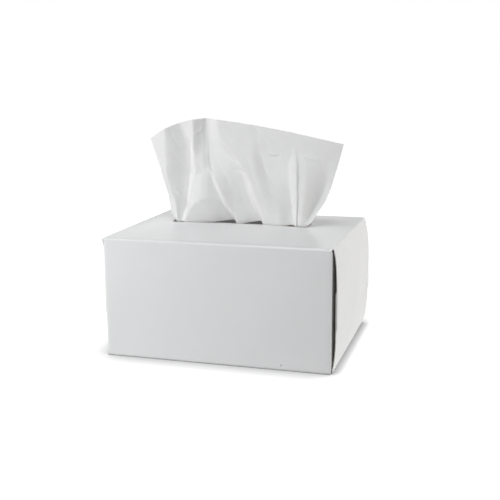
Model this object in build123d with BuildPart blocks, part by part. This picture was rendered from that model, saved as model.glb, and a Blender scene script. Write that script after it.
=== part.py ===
import math
import os

from build123d import *

os.makedirs("parts", exist_ok=True)

# Sheets: five by eight inches, each folded once across its length
sheet_width = 127.0
sheet_length = 203.0
sheet_gauge = 0.45

# Board of the carton and how it folds
board = 0.45
fold_radius = 1.2
nest_gap = 0.2

# Room round the stack inside the carton, and the carton's height over its flat rim
end_room = 2.05
side_room = 0.95
carton_height = 69.3

# Rise of the top panel above its rim: at its middle, and at distances in from each end fold
crown_rise = 3.4
crown_stations = ((1.8, -0.25), (18.8, 2.3), (40.8, 3.3))
crown_margin = 2.15
crown_dip = 0.25
crown_root = 4.0

# Slot in the top panel
slot_length = 84.0
slot_width = 16.0
slot_corner = 4.0

# End closure: the top flap is glued over the bottom flap, and the dust flaps lie behind both
left_bow = 0.3
right_bow = 2.6
major_reach = 45.0
major_relief = 1.8
dust_gap = 20.3
dust_relief = 1.6
dust_corner = 7.0

# Seam at the back bottom corner
seam_edge = 1.4
glue_strip = 14.0

# Stack of folded sheets
stack_height = 50.0
stack_corner = 1.5

# Leading sheet: drawn up out of the stack and gathered in the slot
seat_gap = 0.02
slot_end_gap = 1.2
sheet_head = 136.0

# Gather of the sheet where it leaves the stack and at its neck below the slot
foot_gather = 0.12
neck_gather = 0.6
neck_drop = 9.7
lip_drop = 3.0
foot_setback = 10.4

# Rows of facets above the slot, closest together where the sheet leaves it
upper_rows = 12
row_crowding = 1.4

# Creases from the left edge to the right edge: foot as a share of the gathered half width, head
# across the sheet, foot and head behind the slot's front lip, bend of the way from foot to head
creases = (
    (-1.0, -61.5, 8.0, 10.0, 1.0),
    (-0.946, -50.0, 1.6, 7.0, 1.0),
    (-0.882, -37.5, 8.4, 11.5, 1.0),
    (-0.797, -28.5, 1.0, 7.4, 1.0),
    (-0.49, -21.5, 10.4, 11.6, 1.0),
    (-0.039, -20.0, 1.0, 10.9, 0.8),
    (0.098, -18.0, 10.2, 11.2, 0.9),
    (0.355, -11.0, 0.8, 7.2, 0.9),
    (0.539, 12.0, 10.0, 10.4, 1.0),
    (0.858, 33.0, 0.8, 9.6, 1.0),
    (0.904, 37.0, 6.5, 10.0, 1.0),
    (0.946, 46.0, 2.4, 9.0, 0.8),
    (1.0, 65.0, 8.5, 8.0, 0.65),
)
crest_fade = 1.5

# Upper edge of the sheet, as points across it and down from its head
upper_edge = (
    (-66.0, 25.0),
    (-57.0, 14.4),
    (-48.5, 7.6),
    (-37.5, 3.5),
    (-21.0, 2.0),
    (15.4, 6.7),
    (36.4, 10.9),
    (61.0, 16.3),
    (70.0, 18.2),
)

panel_length = sheet_width + 2 * (end_room + board)
carton_depth = sheet_length / 2 + 2 * (side_room + board)
half_depth = carton_depth / 2
half_panel = panel_length / 2
half_height = carton_height / 2
tube_end = half_panel - fold_radius
inner_fold = fold_radius - board
crown_half_width = half_depth - crown_margin
slot_level = carton_height + crown_rise
gather_half_width = slot_length / 2 - slot_end_gap
front_lip = -slot_width / 2
foot_level = board + stack_height + seat_gap

bow_half_chord = half_height - fold_radius
outer_fold_x = half_panel + nest_gap + 2 * board - fold_radius


def crown_sections(drop):
    """Sections across the raised middle of the top panel, lowered by drop."""
    rim = carton_height - crown_dip - drop
    root = carton_height - crown_root
    left = [(inset - tube_end, rise) for inset, rise in crown_stations]
    right = [(tube_end - inset, rise) for inset, rise in reversed(crown_stations)]
    sections = []
    for station, rise in left + [(0, crown_rise)] + right:
        with BuildSketch(Plane.YZ.offset(station)) as section:
            with BuildLine():
                Polyline(
                    (-crown_half_width, rim),
                    (-crown_half_width, root),
                    (crown_half_width, root),
                    (crown_half_width, rim),
                )
                Bezier(
                    (-crown_half_width, rim),
                    (0, rim + 2 * (rise + crown_dip)),
                    (crown_half_width, rim),
                )
            make_face()
        sections.append(section.sketch)
    return sections


def major_flap(bow, layer):
    """Outline of an end flap that bows out, layer boards in from the outermost one."""
    # The flaps of one end are arcs about one centre, each tangent to its fold
    outer_radius = fold_radius + (bow_half_chord**2 + bow**2) / (2 * bow)
    bow_centre = outer_fold_x - math.sqrt((outer_radius - fold_radius) ** 2 - bow_half_chord**2)
    radius = outer_radius - layer * board
    fold_x = bow_centre + math.sqrt((radius - fold_radius) ** 2 - bow_half_chord**2)
    fold_z = carton_height - fold_radius
    lean = math.degrees(math.asin(bow_half_chord / (radius - fold_radius)))
    tip = math.degrees(math.asin((half_height - major_reach) / radius))
    with BuildLine() as outline:
        Line((tube_end, carton_height), (fold_x, carton_height))
        CenterArc((fold_x, fold_z), fold_radius, 90, lean - 90)
        outer_face = CenterArc((bow_centre, half_height), radius, lean, tip - lean)
        inner_face = CenterArc((bow_centre, half_height), radius - board, lean, tip - lean)
        Line(outer_face @ 1, inner_face @ 1)
        CenterArc((fold_x, fold_z), inner_fold, 90, lean - 90)
        Line((fold_x, carton_height - board), (tube_end, carton_height - board))
        Line((tube_end, carton_height - board), (tube_end, carton_height))
    return outline.edges()


def dust_flap(side, face):
    """Outline of a dust flap at one end of the front or back panel."""
    fold_y = face * (half_depth - fold_radius)
    free_y = face * dust_gap / 2
    outer_x = side * half_panel
    inner_x = side * (half_panel - board)
    with BuildLine() as outline:
        CenterArc((side * tube_end, fold_y), fold_radius, 90 * face, -90 * side * face)
        Polyline((outer_x, fold_y), (outer_x, free_y), (inner_x, free_y), (inner_x, fold_y))
        CenterArc((side * tube_end, fold_y), inner_fold, 90 * face, -90 * side * face)
        Line((side * tube_end, face * (half_depth - board)), (side * tube_end, face * half_depth))
    return outline.edges()


def is_dust_corner(edge):
    """Whether an edge crosses the board at the free end of a dust flap."""
    return abs(abs(edge.center().Y) - dust_gap / 2) < board


def gathered_row(up, gather):
    """Front of the sheet at a share of its height over the slot, gathered from flat (0) to full (1)."""
    row = []
    for foot_share, head_x, foot_depth, head_depth, bend in creases:
        flat_x = foot_share * sheet_width / 2
        foot_x = foot_share * gather_half_width
        across = foot_x + (head_x - foot_x) * up**bend
        depth = head_depth + (foot_depth - head_depth) * (1 - up) ** crest_fade
        x = flat_x + (across - flat_x) * gather
        y = front_lip + foot_setback + (depth - foot_setback) * gather
        row.append((x, y))
    return row


def flat_facets(lower, upper):
    """Flat triangles between two rows of points."""
    facets = []
    for left_foot, right_foot, right_head, left_head in zip(lower, lower[1:], upper[1:], upper):
        facets.append(Face(Wire.make_polygon((left_foot, right_foot, right_head))))
        facets.append(Face(Wire.make_polygon((left_foot, right_head, left_head))))
    return facets


with BuildPart() as carton:
    # Sleeve of four panels, its back panel lapped over the glue strip
    with BuildSketch(Plane.YZ) as sleeve:
        with BuildLine():
            Polyline(
                (-half_depth, 0),
                (half_depth - board, 0),
                (half_depth - board, seam_edge),
                (half_depth, seam_edge),
                (half_depth, carton_height),
                (-half_depth, carton_height),
                close=True,
            )
        make_face()
        folds = sleeve.vertices().filter_by(lambda v: abs(v.Y - seam_edge) > board)
        fillet(folds, radius=fold_radius)
    extrude(amount=tube_end, both=True)
    loft(crown_sections(0))

    # Inside of the sleeve
    with BuildSketch(Plane.YZ) as hollow:
        with BuildLine():
            Polyline(
                (board - half_depth, board),
                (half_depth - 2 * board, board),
                (half_depth - 2 * board, glue_strip),
                (half_depth - board, glue_strip),
                (half_depth - board, carton_height - board),
                (board - half_depth, carton_height - board),
                close=True,
            )
        make_face()
        inside_folds = hollow.vertices().filter_by(lambda v: abs(v.Y - glue_strip) > board)
        fillet(inside_folds, radius=inner_fold)
    extrude(amount=tube_end, both=True, mode=Mode.SUBTRACT)
    loft(crown_sections(board), mode=Mode.SUBTRACT)

    # Slot
    with BuildSketch(Plane.XY.offset(carton_height - crown_root)):
        RectangleRounded(slot_length, slot_width, slot_corner)
    extrude(amount=2 * crown_root, mode=Mode.SUBTRACT)

    # End flaps: outer ones from the top panel, inner ones from the bottom panel, dust flaps behind
    for side, bow in ((-1, left_bow), (1, right_bow)):
        with BuildSketch(Plane((0, 0, 0), x_dir=(side, 0, 0), z_dir=(0, -side, 0))):
            make_face(major_flap(bow, 0))
        extrude(amount=half_depth - major_relief, both=True)
        with BuildSketch(Plane((0, 0, carton_height), x_dir=(side, 0, 0), z_dir=(0, side, 0))):
            make_face(major_flap(bow, 1))
        extrude(amount=half_depth - major_relief, both=True)
        for face in (-1, 1):
            with BuildSketch(Plane.XY.offset(dust_relief)):
                make_face(dust_flap(side, face))
            extrude(amount=carton_height - 2 * dust_relief)
    chamfer(carton.edges().filter_by(Axis.X).filter_by(is_dust_corner), length=dust_corner)
carton.part.label = "carton"

# Stack of folded sheets on the bottom panel
with BuildPart() as tissue_stack:
    with BuildSketch(Plane.YZ) as folded_sheets:
        with Locations((0, board)):
            Rectangle(sheet_length / 2, stack_height, align=(Align.CENTER, Align.MIN))
        fillet(folded_sheets.vertices(), radius=stack_corner)
    extrude(amount=sheet_width / 2, both=True)
tissue_stack.part.label = "tissue_stack"

# Leading sheet of flat facets, pleated where the slot gathers it and trimmed along its upper edge
with BuildPart() as pop_up_tissue:
    rows = [
        (foot_level, gathered_row(0, foot_gather)),
        (slot_level - neck_drop, gathered_row(0, neck_gather)),
        (slot_level - lip_drop, gathered_row(0, 1)),
        (slot_level, gathered_row(0, 1)),
    ]
    for row_number in range(1, upper_rows + 1):
        share = (row_number / upper_rows) ** row_crowding
        rows.append((slot_level + (sheet_head - slot_level) * share, gathered_row(share, 1)))
    front = [[(x, y, level) for x, y in row] for level, row in rows]
    back = [[(x, y + sheet_gauge, level) for x, y in row] for level, row in rows]
    facets = []
    for surface in (front, back):
        for lower, upper in zip(surface, surface[1:]):
            facets += flat_facets(lower, upper)
    for end in (0, -1):
        facets.append(Face(Wire.make_polygon(front[end] + back[end][::-1])))
        for ring in zip(front, front[1:], back[1:], back):
            facets.append(Face(Wire.make_polygon([row[end] for row in ring])))
    add(Solid(Shell(facets)))
    with BuildSketch(Plane.XZ.offset(-half_depth)):
        with BuildLine():
            edge = Spline(*[(x, sheet_head - drop) for x, drop in upper_edge])
            left_top = (upper_edge[0][0], sheet_head)
            right_top = (upper_edge[-1][0], sheet_head)
            Polyline(edge @ 0, left_top, right_top, edge @ 1)
        make_face()
    extrude(amount=carton_depth, mode=Mode.SUBTRACT)
pop_up_tissue.part.label = "pop_up_tissue"

export_step(carton.part, "parts/carton.step")
export_step(tissue_stack.part, "parts/tissue_stack.step")
export_step(pop_up_tissue.part, "parts/pop_up_tissue.step")
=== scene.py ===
"""Dressed model of a box of lens cleaning tissues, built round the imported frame.

Lengths inside the classes are millimetres, and meshes are written in metres.
"""

import logging
import math
from dataclasses import dataclass
from enum import Enum
from typing import Any, Optional, Sequence, Union

import bmesh
import bpy
import numpy as np
from mathutils import Matrix, Vector, noise
from mathutils.geometry import delaunay_2d_cdt


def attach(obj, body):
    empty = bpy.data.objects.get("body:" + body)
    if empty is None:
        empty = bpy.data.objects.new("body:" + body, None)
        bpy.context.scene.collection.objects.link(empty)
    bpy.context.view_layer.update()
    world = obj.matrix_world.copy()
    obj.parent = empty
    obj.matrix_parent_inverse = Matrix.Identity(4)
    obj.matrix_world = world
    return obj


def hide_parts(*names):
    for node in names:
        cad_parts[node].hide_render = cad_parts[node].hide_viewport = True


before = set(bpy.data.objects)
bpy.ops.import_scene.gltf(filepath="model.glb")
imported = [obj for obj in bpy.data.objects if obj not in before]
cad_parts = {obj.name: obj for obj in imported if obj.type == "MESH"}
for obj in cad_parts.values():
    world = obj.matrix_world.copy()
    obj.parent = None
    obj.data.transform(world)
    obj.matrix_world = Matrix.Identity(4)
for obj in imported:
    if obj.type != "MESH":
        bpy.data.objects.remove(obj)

MM = 0.001
SAME = 1e-6
BODY = "root"
log = logging.getLogger("tissue_box")

Point2 = tuple[float, float]
Point3 = tuple[float, float, float]
Colour = tuple[float, float, float]
Socket = bpy.types.NodeSocket


def smooth_step(value: np.ndarray) -> np.ndarray:
    """Eases numbers from 0 to 1, after clipping them to that span."""
    clipped = np.clip(value, 0.0, 1.0)
    return clipped * clipped * (3.0 - 2.0 * clipped)


def even_steps(start: float, stop: float, step: float) -> np.ndarray:
    """Places from start to stop, both included, about a step apart."""
    return np.linspace(start, stop, max(2, int(round(abs(stop - start) / step)) + 1))


def point_line(first: Any, second: Any) -> np.ndarray:
    """Points from two sets of places, of which one may be a single number."""
    return np.column_stack(np.broadcast_arrays(first, second))


def point_grid(x: np.ndarray, y: np.ndarray, z: np.ndarray) -> np.ndarray:
    """Points by row and column, from places that may be given for one row or one column."""
    return np.stack(np.broadcast_arrays(x, y, z), axis=2)


def loop_edges(count: int) -> list[tuple[int, int]]:
    """Edges that join so many points in a ring."""
    return [(index, (index + 1) % count) for index in range(count)]


def rgba(colour: Colour) -> tuple[float, float, float, float]:
    """The colour with full alpha."""
    return (*colour, 1.0)


def put(name: str, data: bpy.types.ID) -> bpy.types.Object:
    """Adds a mesh, a lamp or a camera to the scene.

    Args:
        name: Name of the new object.
        data: What the object holds.

    Returns:
        The object, at the origin.
    """
    item = bpy.data.objects.new(name, data)
    bpy.context.scene.collection.objects.link(item)
    return item


def add_sockets(tree: bpy.types.NodeTree, side: str, kinds: dict[str, str]) -> None:
    """Gives a node group its named sockets.

    Args:
        tree: The group.
        side: INPUT or OUTPUT.
        kinds: Kind of each socket, by its name.
    """
    for name, kind in kinds.items():
        tree.interface.new_socket(name, in_out=side, socket_type=f"NodeSocket{kind}")


class Nodes:
    """Adds nodes to one tree and joins their sockets."""

    def __init__(self, tree: bpy.types.NodeTree) -> None:
        """Keeps the tree that the nodes go into."""
        self.tree = tree

    @classmethod
    def fresh(cls, owner: Union[bpy.types.Material, bpy.types.World]) -> "Nodes":
        """Empties the tree of a material or a world.

        Args:
            owner: The material or the world.
        """
        owner.use_nodes = True
        owner.node_tree.nodes.clear()
        return cls(owner.node_tree)

    def add(self, kind: str, inputs: Optional[dict] = None, **settings: Any) -> bpy.types.Node:
        """Adds a node.

        Args:
            kind: The node's type name.
            inputs: What its inputs take, by socket name or number.
            settings: Properties of the node.

        Returns:
            The new node.
        """
        node = self.tree.nodes.new(kind)
        for name, value in settings.items():
            setattr(node, name, value)
        for key, value in (inputs or {}).items():
            self.feed(node.inputs[key], value)
        return node

    def feed(self, socket: Socket, value: Any) -> None:
        """Links a socket to an output, or sets its value.

        Args:
            socket: The input.
            value: An output, a node whose first output is meant, or a plain value.
        """
        if isinstance(value, bpy.types.Node):
            value = value.outputs[0]
        if isinstance(value, bpy.types.NodeSocket):
            self.tree.links.new(value, socket)
        else:
            socket.default_value = value

    def math(self, operation: str, first: Any, second: Any = 0.0) -> Socket:
        """Output of a Math node on two numbers or sockets."""
        return self.add("ShaderNodeMath", {0: first, 1: second}, operation=operation).outputs[0]

    def span(self, value: Any, low: float, high: float, start: float, end: float) -> Socket:
        """Output of a Map Range node that takes low and high to start and end."""
        return self.add("ShaderNodeMapRange", {0: value, 1: low, 2: high, 3: start, 4: end}).outputs[0]

    def mix(self, share: Any, first: Any, second: Any) -> Socket:
        """Output of a Mix node on two colours."""
        node = self.add("ShaderNodeMix", {"Factor": share, 6: first, 7: second}, data_type="RGBA")
        return node.outputs[2]


class PaperGrain:
    """Shared shader group: mottle and a fine relief for every paper surface."""

    NAME = "paper_grain"
    FIBRE_DETAIL = 4.0
    FIBRE_TWIST = 1.6
    MOTTLE_DETAIL = 3.0
    MOTTLE_ROUGHNESS = 0.55
    FIBRE_SHARE = 0.7
    MOTTLE_SHARE = 0.3

    @classmethod
    def group(cls) -> bpy.types.NodeTree:
        """Builds the group once.

        Returns:
            The node group, with outputs Mottle and Relief.
        """
        found = bpy.data.node_groups.get(cls.NAME)
        if found:
            return found
        tree = bpy.data.node_groups.new(cls.NAME, "ShaderNodeTree")
        add_sockets(tree, "INPUT", {"Place": "Vector", "Fibre Scale": "Float", "Mottle Scale": "Float"})
        add_sockets(tree, "OUTPUT", {"Mottle": "Float", "Relief": "Float"})
        kit = Nodes(tree)
        given = kit.add("NodeGroupInput").outputs
        fibre = kit.add(
            "ShaderNodeTexNoise",
            {
                "Vector": given["Place"],
                "Scale": given["Fibre Scale"],
                "Detail": cls.FIBRE_DETAIL,
                "Distortion": cls.FIBRE_TWIST,
            },
        )
        mottle = kit.add(
            "ShaderNodeTexNoise",
            {
                "Vector": given["Place"],
                "Scale": given["Mottle Scale"],
                "Detail": cls.MOTTLE_DETAIL,
                "Roughness": cls.MOTTLE_ROUGHNESS,
            },
        )
        fine = kit.math("MULTIPLY", fibre, cls.FIBRE_SHARE)
        relief = kit.math("ADD", fine, kit.math("MULTIPLY", mottle, cls.MOTTLE_SHARE))
        kit.add("NodeGroupOutput", {"Mottle": mottle, "Relief": relief})
        return tree

    @classmethod
    def place(cls, kit: Nodes, place: Socket, fibre: float, mottle: float) -> bpy.types.Node:
        """Puts the group into a material.

        Args:
            kit: The material's nodes.
            place: Coordinates that the grain is laid on.
            fibre: Fibres to a metre.
            mottle: Cloudy patches to a metre.

        Returns:
            The group node.
        """
        scales = {"Place": place, "Fibre Scale": fibre, "Mottle Scale": mottle}
        return kit.add("ShaderNodeGroup", scales, node_tree=cls.group())


@dataclass(frozen=True)
class DarkSpot:
    """A small dark mark on a surface."""

    place: Point3
    radius: float
    core: float = 0.6
    strength: float = 0.85
    colour: Colour = (0.2, 0.19, 0.18)

    def mark(self, kit: Nodes, place: Socket, colour: Socket) -> Socket:
        """Puts the speck on a colour.

        Args:
            kit: The material's nodes.
            place: Coordinates of the surface.
            colour: Colour so far.

        Returns:
            The colour with the speck.
        """
        spot = tuple(MM * part for part in self.place)
        away = kit.add("ShaderNodeVectorMath", {0: place, 1: spot}, operation="DISTANCE").outputs["Value"]
        share = kit.span(away, self.core * self.radius * MM, self.radius * MM, self.strength, 0.0)
        return kit.mix(share, colour, rgba(self.colour))


@dataclass(frozen=True)
class SheetLayers:
    """Thin lines between the sheets of a stack: a relief, and painted shade that darkens the gaps."""

    pitch: float = 0.8
    waver: float = 0.6
    waver_scale: float = 30.0
    waver_detail: float = 2.0
    gap_width: float = 0.4
    gap_shade: float = 0.45
    painted_gap_shade_colour: Colour = (0.45, 0.43, 0.4)
    relief: float = 3.0

    def lay(self, kit: Nodes, place: Socket, height: Socket, colour: Socket) -> tuple[Socket, Socket]:
        """Lays the lines over a relief, and paints shade into the gaps on the colour.

        Args:
            kit: The material's nodes.
            place: Coordinates of the surface.
            height: Relief so far.
            colour: Colour so far.

        Returns:
            The relief, and the colour with the painted shade of the lines.
        """
        up = kit.add("ShaderNodeSeparateXYZ", {0: place}).outputs["Z"]
        waver = kit.add(
            "ShaderNodeTexNoise",
            {"Vector": place, "Scale": self.waver_scale, "Detail": self.waver_detail},
        )
        level = kit.math("ADD", up, kit.math("MULTIPLY", waver, self.waver * MM))
        wave = kit.math("SINE", kit.math("MULTIPLY", level, 2.0 * math.pi / (self.pitch * MM)))
        line = kit.span(wave, -1.0, 1.0, 0.0, 1.0)
        # painted shade: the colour darkens along each gap between the sheets
        shade = kit.span(line, 0.0, self.gap_width, self.gap_shade, 0.0)
        raised = kit.math("ADD", height, kit.math("MULTIPLY", line, self.relief))
        return raised, kit.mix(shade, colour, rgba(self.painted_gap_shade_colour))


@dataclass(frozen=True)
class PaperFinish:
    """A paper or board surface."""

    name: str
    colour: Colour
    mottled: Colour
    roughness: float
    roughness_swing: float
    specular: float
    fibre_scale: float
    mottle_scale: float
    relief: float
    relief_depth: float = 0.02
    mottle_span: Point2 = (0.3, 0.7)
    translucent: float = 0.0
    glow: Colour = (1.0, 1.0, 1.0)
    sheen: float = 0.0
    sheen_roughness: float = 0.6
    layers: Optional[SheetLayers] = None
    dark_spots: tuple[DarkSpot, ...] = ()

    def material(self) -> bpy.types.Material:
        """Builds the material.

        Returns:
            A material with a Principled surface, mixed with a translucent one where light comes through.
        """
        material = bpy.data.materials.new(self.name)
        kit = Nodes.fresh(material)
        place = kit.add("ShaderNodeTexCoord").outputs["Object"]
        grain = PaperGrain.place(kit, place, self.fibre_scale, self.mottle_scale).outputs
        colour = kit.mix(grain["Mottle"], rgba(self.colour), rgba(self.mottled))
        height = grain["Relief"]
        if self.layers:
            height, colour = self.layers.lay(kit, place, height, colour)
        for dark_spot in self.dark_spots:
            colour = dark_spot.mark(kit, place, colour)
        smoothest = self.roughness - self.roughness_swing
        roughest = self.roughness + self.roughness_swing
        bump = kit.add(
            "ShaderNodeBump",
            {"Strength": self.relief, "Distance": self.relief_depth * MM, "Height": height},
        )
        shader = kit.add(
            "ShaderNodeBsdfPrincipled",
            {
                "Base Color": colour,
                "Roughness": kit.span(grain["Mottle"], *self.mottle_span, smoothest, roughest),
                "Normal": bump,
                "Specular IOR Level": self.specular,
                "Sheen Weight": self.sheen,
                "Sheen Roughness": self.sheen_roughness,
            },
        )
        if self.translucent:
            through = kit.add("ShaderNodeBsdfTranslucent", {"Color": rgba(self.glow)})
            shader = kit.add("ShaderNodeMixShader", {0: self.translucent, 1: shader, 2: through})
        kit.add("ShaderNodeOutputMaterial", {"Surface": shader})
        return material


COATED = PaperFinish(
    name="coated_board",
    colour=(0.83, 0.835, 0.84),
    mottled=(0.81, 0.81, 0.812),
    roughness=0.21,
    roughness_swing=0.02,
    specular=0.5,
    fibre_scale=700.0,
    mottle_scale=45.0,
    relief=0.12,
    # dark spots at set places: two on the right end just above the top flap's cut edge, one low on the front
    dark_spots=(
        DarkSpot((69.3, -27.6, 26.4), 0.45),
        DarkSpot((69.6, -2.2, 25.5), 0.5),
        DarkSpot((38.3, -52.1, 3.0), 0.5),
    ),
)
BOARD_BACK = PaperFinish(
    name="board_back",
    colour=(0.66, 0.64, 0.6),
    mottled=(0.6, 0.58, 0.54),
    roughness=0.82,
    roughness_swing=0.05,
    specular=0.3,
    fibre_scale=900.0,
    mottle_scale=120.0,
    relief=0.3,
)
BOARD_EDGE = PaperFinish(
    name="board_edge",
    colour=(0.74, 0.72, 0.69),
    mottled=(0.66, 0.64, 0.61),
    roughness=0.85,
    roughness_swing=0.05,
    specular=0.3,
    fibre_scale=1600.0,
    mottle_scale=300.0,
    relief=0.4,
)
TISSUE = PaperFinish(
    name="tissue",
    colour=(0.9, 0.9, 0.9),
    mottled=(0.84, 0.84, 0.837),
    roughness=0.88,
    roughness_swing=0.04,
    specular=0.25,
    fibre_scale=1300.0,
    mottle_scale=240.0,
    relief=0.6,
    relief_depth=0.1,
    translucent=0.22,
    glow=(0.95, 0.95, 0.945),
    sheen=0.08,
)
STACKED = PaperFinish(
    name="stacked_tissue",
    colour=(0.88, 0.875, 0.86),
    mottled=(0.84, 0.832, 0.815),
    roughness=0.9,
    roughness_swing=0.04,
    specular=0.25,
    fibre_scale=1300.0,
    mottle_scale=200.0,
    relief=0.5,
    relief_depth=0.12,
    layers=SheetLayers(),
)


class SheetMesh:
    """Collects patches over shared edges and makes one object of them."""

    MERGE = 0.002

    def __init__(self, name: str) -> None:
        """Starts with no points.

        Args:
            name: Name of the object to be made.
        """
        self.name = name
        self.points: list[np.ndarray] = []
        self.faces: list[tuple[int, ...]] = []
        self.count = 0

    def add_faces(self, points: np.ndarray, faces: Sequence[Sequence[int]], outward: Sequence[float]) -> None:
        """Adds a patch.

        Args:
            points: Its points, one to a row.
            faces: Faces as point numbers, all turned the same way.
            outward: A direction that its first face looks towards.
        """
        first = points[list(faces[0])]
        normal = np.cross(first[1] - first[0], first[2] - first[0])
        flip = float(np.dot(normal, outward)) < 0.0
        for face in faces:
            turned = reversed(face) if flip else face
            self.faces.append(tuple(self.count + index for index in turned))
        self.points.append(points)
        self.count += len(points)

    def add_grid(self, grid: np.ndarray, outward: Sequence[float]) -> None:
        """Adds a patch of quads from a grid of points.

        Args:
            grid: Points by row and column.
            outward: A direction that its first face looks towards.
        """
        rows, columns = grid.shape[:2]
        faces = []
        for row in range(rows - 1):
            for column in range(columns - 1):
                corner = row * columns + column
                faces.append((corner, corner + columns, corner + columns + 1, corner + 1))
        self.add_faces(grid.reshape(-1, 3), faces, outward)

    def build(self, materials: Sequence[bpy.types.Material]) -> bpy.types.Object:
        """Joins the patches.

        Args:
            materials: The object's material slots.

        Returns:
            An object at the origin.
        """
        mesh = bpy.data.meshes.new(self.name)
        mesh.from_pydata((np.concatenate(self.points) * MM).tolist(), [], self.faces)
        work = bmesh.new()
        work.from_mesh(mesh)
        bmesh.ops.remove_doubles(work, verts=work.verts, dist=self.MERGE * MM)
        work.to_mesh(mesh)
        work.free()
        for material in materials:
            mesh.materials.append(material)
        return put(self.name, mesh)


def settle(item: bpy.types.Object, sharp_angle: float) -> None:
    """Turns a piece and its modifiers into a plain mesh with soft faces and sharp edges.

    Args:
        item: The piece.
        sharp_angle: Degrees between faces from which an edge stays sharp.
    """
    depsgraph = bpy.context.evaluated_depsgraph_get()
    mesh = bpy.data.meshes.new_from_object(item.evaluated_get(depsgraph))
    item.modifiers.clear()
    item.data = mesh
    mesh.name = item.name
    mesh.shade_smooth()
    mesh.set_sharp_from_angle(angle=math.radians(sharp_angle))


class Closure(Enum):
    """Which panel an end flap hangs from."""

    TOP = "top"
    BOTTOM = "bottom"


@dataclass(frozen=True)
class Ripple:
    """One run of slight waves in a panel."""

    height: float
    along: float
    across: float
    turn: float
    start: float = 0.0


PANEL_RIPPLES = (
    Ripple(0.5, 17.0, 13.0, 2.0),
    Ripple(0.5, 17.0, -13.0, 0.6),
    Ripple(0.6, 9.0, -15.0, 2.1),
    Ripple(0.35, 6.5, 7.5, 0.4, math.pi / 2),
)
FLAP_RIPPLES = (
    Ripple(0.5, 15.0, 14.0, 1.0),
    Ripple(0.5, 15.0, -14.0, 1.0),
    Ripple(0.5, 8.0, -11.0, 0.0),
)


def rippled(ripples: Sequence[Ripple], a: np.ndarray, b: np.ndarray, turn: float) -> np.ndarray:
    """Adds up runs of waves.

    Args:
        ripples: The runs.
        a: Places along the panel, from its middle.
        b: Places across it, from its middle.
        turn: Shifts the waves from panel to panel.

    Returns:
        Height of the waves at each place.
    """
    total = np.zeros(np.shape(a))
    for ripple in ripples:
        phase = a / ripple.along + b / ripple.across + ripple.turn * turn + ripple.start
        total += ripple.height * np.sin(phase)
    return total


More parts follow.
